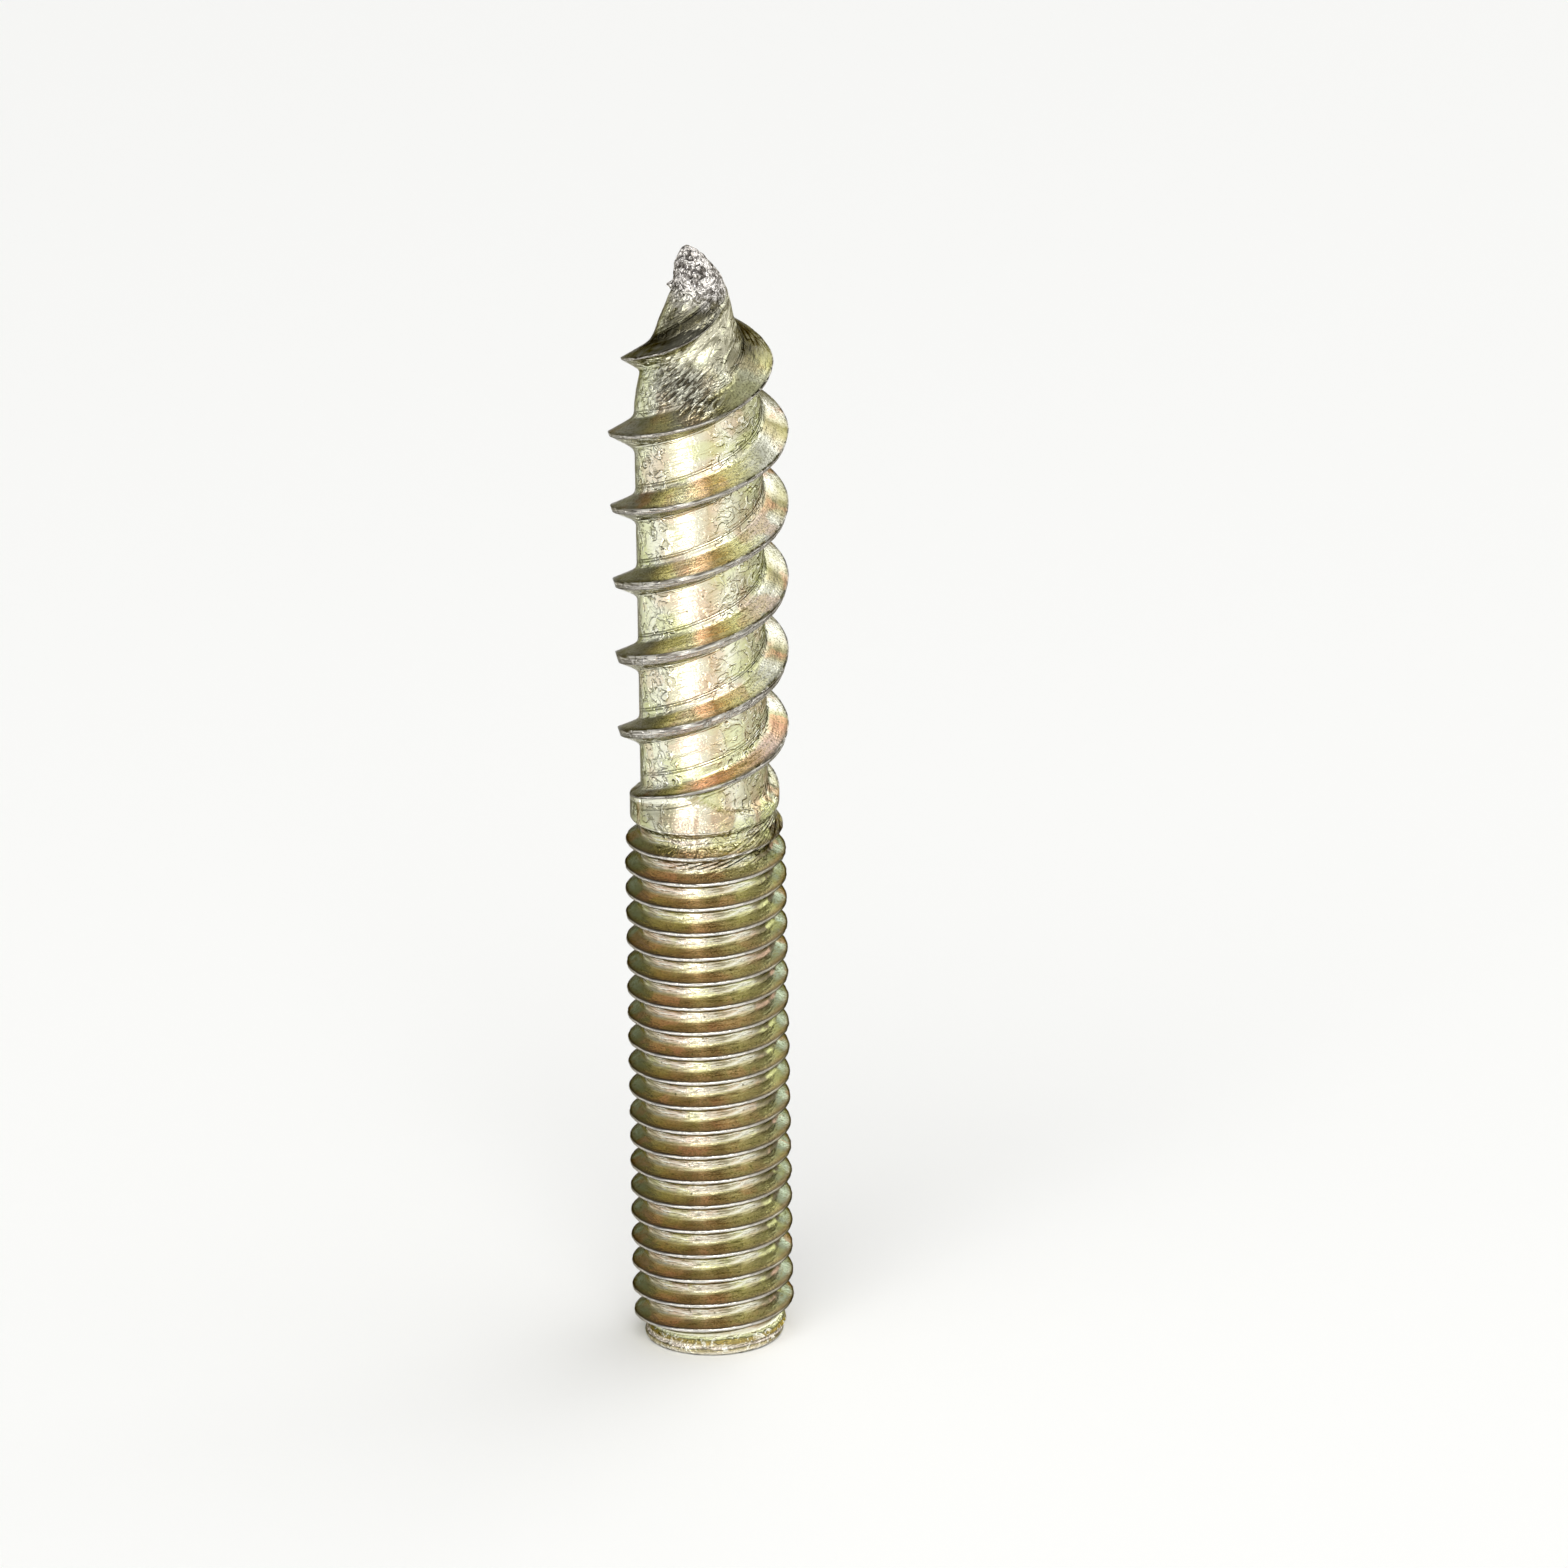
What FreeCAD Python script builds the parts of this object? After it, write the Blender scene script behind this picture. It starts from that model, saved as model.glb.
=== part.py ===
import FreeCAD, Part

import os
import re

import Sketcher
from FreeCAD import Placement, Rotation, Vector

# Dowel screw, M5 x 35, cold-formed from one piece of steel wire.
# A metric machine thread runs up from the flat end, and a two-start wood thread runs on to
# the gimlet point. +Z is the axis from the flat end to the point, and the origin is the
# centre of the flat end. Both threads are right-handed.

# The driving sizes, in millimetres where they are lengths.
SIZES = [
    ("blank_radius", 2.24, "plain wire that both threads are rolled on"),
    ("machine_crest_radius", 2.43, "outside of the machine thread"),
    ("machine_pitch", 0.8, "crest to crest"),
    ("groove_depth_share", 0.59, "depth of its groove, per pitch"),
    ("groove_overcut_share", 0.06, "how far the cut is carried past the crest, per pitch"),
    ("machine_flank_slope", 0.73, "axial per radial length of its flanks"),
    ("machine_length", 16.95, "flat end to where the crest has fallen to the blank"),
    ("machine_fade_length", 1.35, "length over which the crest falls to the blank"),
    ("groove_fade_length", 0.58, "from the last full groove to the end of the thread"),
    ("groove_fade_rise", 0.33, "how far the groove climbs out in its last turn"),
    ("end_face_radius", 1.95, "flat that the screw stands on"),
    ("end_lip_radius", 2.07, "rounded lip round the flat"),
    ("end_lip_height", 0.09, "flat to the widest part of the lip"),
    ("end_neck_radius", 2.04, "narrow neck over the lip"),
    ("end_neck_height", 0.2, "flat to the neck"),
    ("end_taper_height", 0.85, "flat to where the machine thread has its full size"),
    ("shank_length", 0.45, "plain blank between the two threads"),
    ("shoulder_length", 0.5, "fall from the blank to the core"),
    ("core_radius", 1.91, "root of the wood thread"),
    ("ridge_spacing", 2.3915, "crest to crest of the wood thread along the axis"),
    ("ridge_starts", 2, "ridges that run side by side"),
    ("run_in_length", 2.01, "rise of a ridge as it grows out of the blank"),
    ("run_in_turns", 0.5, "part of a turn that this takes"),
    ("ridge_length", 9.566, "rise of a ridge at its full size"),
    ("crest_radius_low", 2.564, "worn crest at the first full ridge"),
    ("crest_radius_high", 2.714, "worn crest at the last full ridge"),
    ("apex_radius_start", 2.27, "where the two flanks would meet, at the blank"),
    ("apex_radius_low", 2.93, "the same at the first full ridge"),
    ("apex_radius_high", 2.756, "the same at the last full ridge"),
    ("apex_radius_point", 2.25, "the same half-way up the threaded point"),
    ("apex_radius_end", 0.92, "the same where the ridge dies out"),
    ("ridge_depth", 1.1, "radial depth of the ridge section"),
    ("ridge_depth_point", 0.88, "the same on the point, where the core is thin"),
    ("lower_flank_slope", 0.46, "axial per radial length, side towards the flat end"),
    ("upper_flank_slope", 0.6, "the same, side towards the point"),
    ("point_thread_length", 4.783, "rise of a ridge on the point"),
    ("point_start", 0.92, "from the last full ridge to the start of the taper"),
    ("point_knee_length", 0.85, "first, gentle part of the taper"),
    ("point_knee_radius", 1.75, "core at its end"),
    ("point_waist_drop", 1.0, "below the end of the ridge, where the cone gets slimmer"),
    ("point_waist_radius", 1.08, "core there"),
    ("tip_length", 1.24, "from the end of the ridge to the very tip"),
    ("tip_cap_length", 0.7, "rounded end of the tip"),
    ("tip_cap_radius", 0.66, "core at the foot of the rounded end"),
    ("tip_corner_length", 0.22, "worn corner below the very tip"),
    ("tip_corner_radius", 0.42, "core at the worn corner"),
    ("tip_flat_radius", 0.16, "blunt end"),
]
ALIASES = [alias for alias, _, _ in SIZES]

# Heights and turns that follow from the sizes.
SHOULDER = "(machine_length + shank_length)"
LOW_RIDGE = f"({SHOULDER} + run_in_length)"
HIGH_RIDGE = f"({LOW_RIDGE} + ridge_length)"
RIDGE_END = f"({HIGH_RIDGE} + point_thread_length)"
TIP = f"({RIDGE_END} + tip_length)"
LAST_GROOVE = "(machine_length - groove_fade_length)"
LEAD = "(ridge_spacing * ridge_starts)"
RIDGE_TURNS = f"(ridge_length / {LEAD})"
POINT_TURNS = f"(point_thread_length / {LEAD})"


def make_sheet(doc):
    sheet = doc.addObject("Spreadsheet::Sheet", "Sizes")
    for row, (alias, value, meaning) in enumerate(SIZES, start=1):
        sheet.set(f"A{row}", meaning)
        sheet.set(f"B{row}", str(value))
        sheet.setAlias(f"B{row}", alias)
    doc.recompute()
    return sheet


def bind(feature, name, formula):
    """Tie a property or a constraint to a formula of the sheet's aliases."""
    text = re.sub(r"[a-z_]+", lambda found: sheet_name(found.group(0)), formula)
    feature.setExpression(name, text)


def sheet_name(word):
    return f"Sizes.{word}" if word in ALIASES else word


def origin_feature(body, role):
    return [feature for feature in body.Origin.OriginFeatures if feature.Role == role][0]


def outline(body, name, corners, role="XZ_Plane", turns="0"):
    """Closed sketch through corners of (radius, height), turned about the axis."""
    sketch = body.newObject("Sketcher::SketchObject", name)
    sketch.AttachmentSupport = [(origin_feature(body, role), "")]
    sketch.MapMode = "FlatFace"
    sketch.AttachmentOffset = Placement(Vector(0, 0, 0), Rotation(Vector(0, 1, 0), 90))
    bind(sketch, ".AttachmentOffset.Rotation.Angle", f"360 * {turns}")
    start = [first_spot(number, len(corners)) for number in range(len(corners))]
    for number, spot in enumerate(start):
        sketch.addGeometry(Part.LineSegment(spot, start[(number + 1) % len(start)]), False)
    for number in range(len(start)):
        after = (number + 1) % len(start)
        sketch.addConstraint(Sketcher.Constraint("Coincident", number, 2, after, 1))
    for number, (radius, height) in enumerate(corners):
        place_corner(sketch, number, "DistanceX", radius, start[number].x)
        place_corner(sketch, number, "DistanceY", height, start[number].y)
    return sketch


def first_spot(number, count):
    """Rough place of a corner on a circle, before its constraints move it."""
    return Rotation(Vector(0, 0, 1), 360 * number / count).multVec(Vector(3, 0, 0)) + Vector(5, 5, 0)


def place_corner(sketch, number, kind, formula, value):
    constraint = sketch.addConstraint(Sketcher.Constraint(kind, -1, 1, number, 1, value))
    label = f"corner_{number}_{kind[-1].lower()}"
    sketch.renameConstraint(constraint, label)
    bind(sketch, f"Constraints.{label}", formula)


def turned_feature(body, kind, name, sketch):
    feature = body.newObject(f"PartDesign::{kind}", name)
    feature.Profile = sketch
    feature.ReferenceAxis = (origin_feature(body, "Z_Axis"), "")
    feature.Angle = 360
    return feature


def helix_feature(body, kind, name, sketch, rise, turns, widening, downwards=False):
    """Sweep a section round the axis; widening is how far it moves out in all."""
    feature = body.newObject(f"PartDesign::{kind}", name)
    feature.Profile = sketch
    feature.ReferenceAxis = (origin_feature(body, "Z_Axis"), "")
    feature.Mode = "height-turns-growth"
    feature.Reversed = downwards
    bind(feature, "Height", rise)
    bind(feature, "Turns", turns)
    bind(feature, "Growth", f"({widening}) / ({turns})")
    return feature


def blank_corners():
    """Half section of the turned blank, from the flat end to the tip."""
    return [
        ("0", "0"),
        ("end_face_radius", "0"),
        ("end_lip_radius", "end_lip_height"),
        ("end_neck_radius", "end_neck_height"),
        ("machine_crest_radius", "end_taper_height"),
        ("machine_crest_radius", "machine_length - machine_fade_length"),
        ("blank_radius", "machine_length"),
        ("blank_radius", SHOULDER),
        ("core_radius", f"{SHOULDER} + shoulder_length"),
        ("core_radius", f"{HIGH_RIDGE} + point_start"),
        ("point_knee_radius", f"{HIGH_RIDGE} + point_start + point_knee_length"),
        ("point_waist_radius", f"{RIDGE_END} - point_waist_drop"),
        ("tip_cap_radius", f"{TIP} - tip_cap_length"),
        ("tip_corner_radius", f"{TIP} - tip_corner_length"),
        ("tip_flat_radius", TIP),
        ("0", TIP),
    ]


def ridge_corners(apex, height, depth):
    """Section of a ridge of the wood thread, steeper below than above."""
    return [
        (apex, height),
        (f"{apex} - {depth}", f"{height} + {depth} * upper_flank_slope"),
        (f"{apex} - {depth}", f"{height} - {depth} * lower_flank_slope"),
    ]


def crest_corners():
    """What the rolling dies leave out: all that is outside the worn crests."""
    outside = "crest_radius_high + machine_crest_radius"
    return [
        ("blank_radius + 0.02", SHOULDER),
        ("crest_radius_low", LOW_RIDGE),
        ("crest_radius_high", HIGH_RIDGE),
        ("apex_radius_high + 0.05", f"{HIGH_RIDGE} + {LEAD} / 2"),
        (outside, f"{HIGH_RIDGE} + {LEAD} / 2"),
        (outside, SHOULDER),
    ]


def groove_corners(height):
    """Section of the machine thread's groove, cut a little past the crest."""
    floor = "machine_crest_radius - machine_pitch * groove_depth_share"
    mouth = "machine_crest_radius + machine_pitch * groove_overcut_share"
    flank = "machine_pitch * (groove_depth_share + groove_overcut_share) * machine_flank_slope"
    return [
        (floor, height),
        (mouth, f"{height} + {flank}"),
        (mouth, f"{height} - {flank}"),
    ]


def add_blank(body):
    sketch = outline(body, "BlankOutline", blank_corners(), role="YZ_Plane")
    turned_feature(body, "Revolution", "Blank", sketch)


def add_wood_thread(body):
    """One ridge in four lengths, repeated round the axis and trimmed to its worn crest."""
    foot = ridge_corners("apex_radius_start", SHOULDER, "ridge_depth")
    foot_sketch = outline(body, "RunInSection", foot, turns="(1 - run_in_turns)")
    run_in = helix_feature(body, "AdditiveHelix", "RunIn", foot_sketch, "run_in_length",
                           "run_in_turns", "apex_radius_low - apex_radius_start")

    full = ridge_corners("apex_radius_high", HIGH_RIDGE, "ridge_depth")
    full_sketch = outline(body, "RidgeSection", full, turns=RIDGE_TURNS)
    ridge = helix_feature(body, "AdditiveHelix", "Ridge", full_sketch, "ridge_length",
                          RIDGE_TURNS, "apex_radius_low - apex_radius_high", downwards=True)

    middle = f"({HIGH_RIDGE} + point_thread_length / 2)"
    half = ridge_corners("apex_radius_point", middle, "ridge_depth_point")
    half_sketch = outline(body, "PointSection", half, turns=f"({RIDGE_TURNS} + {POINT_TURNS} / 2)")
    lower = helix_feature(body, "AdditiveHelix", "PointRidge", half_sketch, "point_thread_length / 2",
                          f"{POINT_TURNS} / 2", "apex_radius_high - apex_radius_point", downwards=True)

    last = ridge_corners("apex_radius_end", RIDGE_END, "ridge_depth_point")
    last_sketch = outline(body, "LastSection", last, turns=f"({RIDGE_TURNS} + {POINT_TURNS})")
    upper = helix_feature(body, "AdditiveHelix", "LastRidge", last_sketch, "point_thread_length / 2",
                          f"{POINT_TURNS} / 2", "apex_radius_point - apex_radius_end", downwards=True)

    starts = body.newObject("PartDesign::PolarPattern", "Starts")
    starts.Originals = [run_in, ridge, lower, upper]
    starts.Axis = (origin_feature(body, "Z_Axis"), [""])
    starts.Angle = 360
    bind(starts, "Occurrences", "ridge_starts")
    body.Tip = starts

    envelope = outline(body, "CrestOutline", crest_corners(), role="YZ_Plane")
    turned_feature(body, "Groove", "WornCrests", envelope)


def add_machine_thread(body):
    """One groove, cut down from its last full turn and let out of the blank above it."""
    below = "machine_pitch * 0.6"
    section = groove_corners(LAST_GROOVE)
    sketch = outline(body, "GrooveSection", section, turns="0.5")
    helix_feature(body, "SubtractiveHelix", "MachineGroove", sketch, f"{LAST_GROOVE} + {below}",
                  f"({LAST_GROOVE} + {below}) / machine_pitch", "0", downwards=True)
    again = outline(body, "FadeSection", section, turns="0.5")
    helix_feature(body, "SubtractiveHelix", "MachineFade", again, "machine_pitch", "1",
                  "groove_fade_rise")


def check(doc):
    """Every object is up to date, and each feature adds or cuts what it should."""
    doc.recompute()
    for item in doc.Objects:
        if "Invalid" in item.State or "Error" in item.State:
            raise RuntimeError(f"{item.Name} did not build: {item.State}")
    volume = 0.0
    for feature in doc.Objects:
        if not feature.isDerivedFrom("PartDesign::Feature"):
            continue
        shape = feature.Shape
        if shape.isNull() or not shape.isValid() or len(shape.Solids) != 1:
            raise RuntimeError(f"{feature.Name} is not one sound solid")
        cuts = feature.TypeId in ("PartDesign::Groove", "PartDesign::SubtractiveHelix")
        if (shape.Volume < volume) != cuts:
            raise RuntimeError(f"{feature.Name} did not change the volume as it should")
        print(f"{feature.Name:16s} {shape.Volume:8.3f} mm3")
        volume = shape.Volume


def main():
    doc = FreeCAD.newDocument("DowelScrew")
    make_sheet(doc)
    body = doc.addObject("PartDesign::Body", "DowelScrew")
    body.Label = "dowel_screw"
    body.Placement = Placement(Vector(0, 0, 0), Rotation(Vector(0, 0, 1), 0))
    add_blank(body)
    add_wood_thread(body)
    add_machine_thread(body)
    check(doc)
    os.makedirs("parts", exist_ok=True)
    body.Shape.exportStep(f"parts/{body.Label}.step")


main()
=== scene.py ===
"""Looks of a double-ended screw: machine thread below, two-start wood thread and point above."""

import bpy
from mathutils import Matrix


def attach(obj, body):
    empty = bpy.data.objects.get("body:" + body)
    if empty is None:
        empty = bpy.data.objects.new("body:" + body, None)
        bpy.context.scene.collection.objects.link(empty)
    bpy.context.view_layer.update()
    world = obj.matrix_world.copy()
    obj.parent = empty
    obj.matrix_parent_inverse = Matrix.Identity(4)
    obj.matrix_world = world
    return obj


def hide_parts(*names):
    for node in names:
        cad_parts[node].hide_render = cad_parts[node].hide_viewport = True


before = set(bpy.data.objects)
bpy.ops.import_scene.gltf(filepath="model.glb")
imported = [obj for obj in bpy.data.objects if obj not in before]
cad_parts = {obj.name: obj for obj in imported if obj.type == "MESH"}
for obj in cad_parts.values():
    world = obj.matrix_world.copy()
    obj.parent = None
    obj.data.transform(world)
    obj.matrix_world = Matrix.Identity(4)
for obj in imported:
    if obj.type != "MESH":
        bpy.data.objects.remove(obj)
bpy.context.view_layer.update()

import logging
import math
from collections.abc import Sequence
from dataclasses import dataclass, field
from enum import Enum
from functools import partial

import bpy
import numpy as np
from mathutils import Matrix, Vector, noise

# Sizes and heights are in millimetres, and the node trees work in millimetres as well.
MM = 0.001
LOG = logging.getLogger("dowel_screw")
Socket = bpy.types.NodeSocket
Colour = tuple[float, float, float, float]
Point = tuple[float, float, float]
Span = tuple[float, float]
Table = tuple[Span, ...]
Stops = tuple[tuple[float, str], ...]


class Zone(Enum):
    """Attributes on the screw's mesh that tell the finish where it is."""

    CREST = "crest_wear"
    FLANK = "upper_flank"
    UNDER = "lower_flank"
    POINT = "bare_point"
    MACHINE = "machine_end"
    EDGE = "crest_edge"
    ABOVE = "above_crest"
    SCAR = "scar"
    SMEAR = "smear"
    FOLD = "fold_phase"


class Grain(Enum):
    """Noise patterns: size of the lumps in millimetres, detail, swirl, and lean in radians."""

    # Clouds of film thickness, about a millimetre across, as the bath left them.
    CLOUDS = ((1.1111, 1.1111, 1.1111), 3.0, 0.0, 0.0)
    # Curled outlines where the film dried on the core, 0.4 mm.
    CURLS = ((0.4, 0.4, 0.4), 2.0, 1.2, 0.0)
    # Zinc crystals are 0.01 mm. They are drawn six times as coarse, or the render wouldn't show them.
    GRIT = ((0.0625, 0.0625, 0.0625), 2.0, 0.0, 0.0)
    # Pits and lumps of torn metal, 0.2 mm.
    CRUMPLE = ((0.2174, 0.2174, 0.2174), 2.0, 1.3, 0.0)
    # Scratches that the rolling dies draw along the thread, 0.6 mm long and 0.08 mm high.
    DRAWN = ((0.625, 0.625, 0.0769), 3.0, 0.0, 0.0)
    # Run marks of the bath on the plain shank, 0.4 mm wide.
    RUNS = ((0.4167, 0.4167, 3.3333), 2.0, 0.0, 0.0)
    # Torn strands 0.1 mm thick in the scar, which lean with the ridges.
    STRANDS = ((0.4, 0.3, 0.1), 2.0, 0.8, -0.75)
    # Broad sweeps 0.2 mm thick, where the point was pressed.
    SWEEPS = ((0.9, 0.6, 0.22), 1.0, 0.7, -0.95)


def linear(code: str) -> Colour:
    """Turn an sRGB hex colour to linear RGBA.

    Args:
        code: Six hex digits with a leading hash sign.

    Returns:
        The linear colour with full alpha.
    """
    parts = [int(code[i:i + 2], 16) / 255 for i in (1, 3, 5)]
    return tuple(c / 12.92 if c <= 0.04045 else ((c + 0.055) / 1.055) ** 2.4 for c in parts) + (1.0,)


def add_node(tree: bpy.types.NodeTree, kind: str, inputs: dict | None = None, take: int | str = 0,
             stops: Stops = (), **settings) -> Socket | None:
    """Add one node with its settings and links.

    Args:
        tree: Node tree of a material or the world.
        kind: Type name of the node, without the "ShaderNode" that all begin with.
        inputs: Input name or number to a value, or to a socket that is linked to it.
        take: Name or number of the output that is wanted.
        stops: For a colour ramp, the place and sRGB hex colour of each stop.
        **settings: Properties of the node itself.

    Returns:
        The wanted output, or None where the node has no outputs.
    """
    made = tree.nodes.new("ShaderNode" + kind)
    for name, value in settings.items():
        setattr(made, name, value)
    for name, value in (inputs or {}).items():
        if isinstance(value, Socket):
            tree.links.new(value, made.inputs[name])
        else:
            made.inputs[name].default_value = value
    if stops:
        set_stops(made.color_ramp.elements, stops)
    return made.outputs[take] if len(made.outputs) else None


def set_stops(elements: bpy.types.ColorRampElements, stops: Stops) -> None:
    """Give a colour ramp its stops.

    Args:
        elements: The elements of the ramp.
        stops: Place on the ramp and sRGB hex colour of each stop.
    """
    while len(elements) > 1:
        elements.remove(elements[-1])
    elements[0].position, elements[0].color = stops[0][0], linear(stops[0][1])
    for place, code in stops[1:]:
        elements.new(place).color = linear(code)


def smooth(value: np.ndarray, low: float | np.ndarray, high: float | np.ndarray) -> np.ndarray:
    """Ease from 0 at low to 1 at high."""
    t = np.clip((value - low) / (high - low), 0, 1)
    return t * t * (3 - 2 * t)


def read(table: Table, at: np.ndarray) -> np.ndarray:
    """Read a table of places and values, in a straight line between its rows."""
    return np.interp(at, *zip(*table))


def soft_floor(value: np.ndarray, low: float, reach: float, snap: float = 0.004) -> np.ndarray:
    """Keep heights from running below a limit, with a soft bend just above it.

    Args:
        value: Heights in millimetres.
        low: The limit.
        reach: Distance over which the bend is felt.
        snap: Distance from the limit within which a height is put on it.

    Returns:
        The heights, unchanged well above the limit and equal to it at and below it.
    """
    bent = reach * np.logaddexp(0, (value - low) / reach)
    return low + np.where(bent < snap, 0.0, bent)


def lumps(places: np.ndarray, size: float, seed: float) -> np.ndarray:
    """Smooth noise between about -1 and 1, the same in every run.

    Args:
        places: Points in millimetres, one per row.
        size: Size of a lump in millimetres.
        seed: Shift that gives another pattern.

    Returns:
        One value per point.
    """
    shift = Vector((seed, seed * 1.7, seed * 0.3))
    return np.array([noise.noise(Vector(p) / size + shift) for p in places])


@dataclass(frozen=True)
class Knob:
    """A small lump or dent on the surface, in degrees and millimetres."""

    angle: float
    height: float
    rise: float
    wide: float
    tall: float
    least_radius: float = 0.3

    def lift(self, degrees: np.ndarray, z: np.ndarray, r: np.ndarray) -> np.ndarray:
        """Work out how far the knob lifts the surface.

        Args:
            degrees: Angle of each vertex.
            z: Height of each vertex in millimetres.
            r: Radius of each vertex in millimetres.

        Returns:
            One distance per vertex.
        """
        away = (degrees - self.angle + 180) % 360 - 180
        across = np.radians(away) * np.maximum(r, self.least_radius) / self.wide
        up = (z - self.height) / self.tall
        return self.rise * np.exp(-(across ** 2 + up ** 2))


@dataclass(frozen=True)
class Patch:
    """A marked place on the surface: centre, half its size in degrees and millimetres, squareness."""

    angle: float
    spread: float
    height: float
    tall: float
    power: float

    def mask(self, degrees: np.ndarray, z: np.ndarray) -> np.ndarray:
        """Mark the patch with a soft edge.

        Args:
            degrees: Angle of each vertex.
            z: Height of each vertex in millimetres.

        Returns:
            One value from 0 to 1 per vertex.
        """
        away = np.abs((degrees - self.angle + 180) % 360 - 180) / self.spread
        up = np.abs(z - self.height) / self.tall
        return np.exp(-(away ** self.power + up ** self.power))


@dataclass
class Surface:
    """What a thread tells about the points of its sheet."""

    radius: np.ndarray
    near: np.ndarray
    stand: np.ndarray
    half_land: np.ndarray


@dataclass
class MachineThread:
    """Metric thread at the flat end: M5 with crests 0.8 mm apart."""

    pitch: float = 0.8
    first_crest: float = 14.768
    top: float = 17.2
    # Rows of the mesh above a crest, closer where the section bends.
    rows: tuple[float, ...] = (
        0.0, 0.018, 0.034, 0.05, 0.08, 0.15, 0.22, 0.245, 0.27, 0.295, 0.32, 0.35)
    # Sections: distance from the middle of the groove, and share of the thread's depth.
    section: Table = (
        (0.0, 0.0), (0.05, 0.004), (0.08, 0.016), (0.105, 0.042), (0.13, 0.085), (0.155, 0.15),
        (0.18, 0.243), (0.35, 0.925), (0.366, 0.965), (0.4, 1.0))
    under_section: Table = (
        (0.0, 0.0), (0.09, 0.003), (0.125, 0.014), (0.15, 0.055), (0.17, 0.13), (0.19, 0.225),
        (0.35, 0.925), (0.366, 0.965), (0.4, 1.0))
    # Height and radius along the screw of the crests, of the groove's floor and of the flat end's lip.
    crest: Table = (
        (0.0, 2.04), (0.368, 2.17), (0.768, 2.385), (1.168, 2.425), (15.5, 2.425),
        (15.968, 2.385), (16.368, 2.335), (16.768, 2.245), (17.2, 2.24))
    floor: Table = (
        (0.0, 2.03), (0.3, 1.985), (0.6, 1.965), (16.37, 1.97), (16.57, 2.02), (16.77, 2.115),
        (17.17, 2.24))
    end: Table = (
        (0.0, 1.95), (0.01, 1.985), (0.025, 2.02), (0.05, 2.05), (0.09, 2.065), (0.14, 2.06),
        (0.19, 2.035), (0.25, 2.01), (0.33, 2.06), (0.42, 2.2), (0.85, 2.6))
    lip_top: float = 0.24
    neck: float = 2.01
    bend_at_end: float = 0.035
    bend_at_top: float = 0.05
    full_depth: Span = (0.12, 0.4)
    thread_from: Span = (0.45, 0.7)
    half_land: float = 0.04
    seam_depth: float = 0.008
    seam_half: float = 0.012
    # What the finish needs to know: body under the crests, softness of the crests' edges and the
    # painted shade along them.
    body: Table = ((0.0, 1.99),)
    soft_land: float = 0.012
    land_rough: float = 0.02
    edge_below: float = 0.35
    reach_below: Table = ((0.0, 0.7),)
    flank_ends: Span = (16.25, 16.5)
    flank_loss: float = 0.85
    phase_mark: float = 3.0

    def heights(self, turns: np.ndarray) -> np.ndarray:
        """Place the rows of the sheet along the thread.

        Args:
            turns: Angle of each column in turns, from 0 to 1.

        Returns:
            Heights in millimetres, one row of the array per row of the sheet.
        """
        offsets = list(self.rows) + [self.pitch / 2] + [self.pitch - o for o in reversed(self.rows[1:])]
        count = math.ceil(self.top / self.pitch) + 3
        first = self.first_crest - self.pitch * (math.ceil(self.first_crest / self.pitch) + 1)
        lines = [first + self.pitch * k + o for k in range(count) for o in offsets]
        raw = np.array(lines)[:, None] + self.pitch * turns[None, :]
        low = soft_floor(raw, 0.0, self.bend_at_end)
        return self.top - soft_floor(self.top - low, 0.0, self.bend_at_top)

    def surface(self, turns: np.ndarray, z: np.ndarray) -> Surface:
        """Find the surface of the thread.

        Args:
            turns: Angle in turns.
            z: Height in millimetres.

        Returns:
            Radius, distance above the nearest crest, how far that crest stands out and half its width.
        """
        phase = (z - self.first_crest) / self.pitch - turns
        above_crest = (phase - np.round(phase)) * self.pitch
        above_groove = (phase - 0.5 - np.round(phase - 0.5)) * self.pitch
        crest = read(self.crest, z - above_crest)
        floor = np.minimum(read(self.floor, z - above_groove), crest)
        below, over = read(self.section, -above_groove), read(self.under_section, above_groove)
        r = floor + (crest - floor) * np.where(above_groove > 0, over, below)
        stand = smooth(crest - floor, *self.full_depth) * smooth(z, *self.thread_from)
        r = r - self.seam_depth * np.exp(-(above_crest / self.seam_half) ** 2) * stand
        lip = read(self.end, z)
        r = np.where(z < self.lip_top, lip, np.minimum(r, np.maximum(lip, self.neck)))
        return Surface(r, above_crest, stand, np.full_like(z, self.half_land))

    def flank_shown(self, z: np.ndarray) -> np.ndarray:
        """How strongly the flank's own colour shows: it goes where the groove runs out."""
        return 1 - self.flank_loss * smooth(z, *self.flank_ends)

    def phase_above(self, near: np.ndarray) -> np.ndarray:
        """Distance above the last crest, marked so that the finish can tell it from the wood thread's."""
        return near % self.pitch + self.phase_mark


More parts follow.
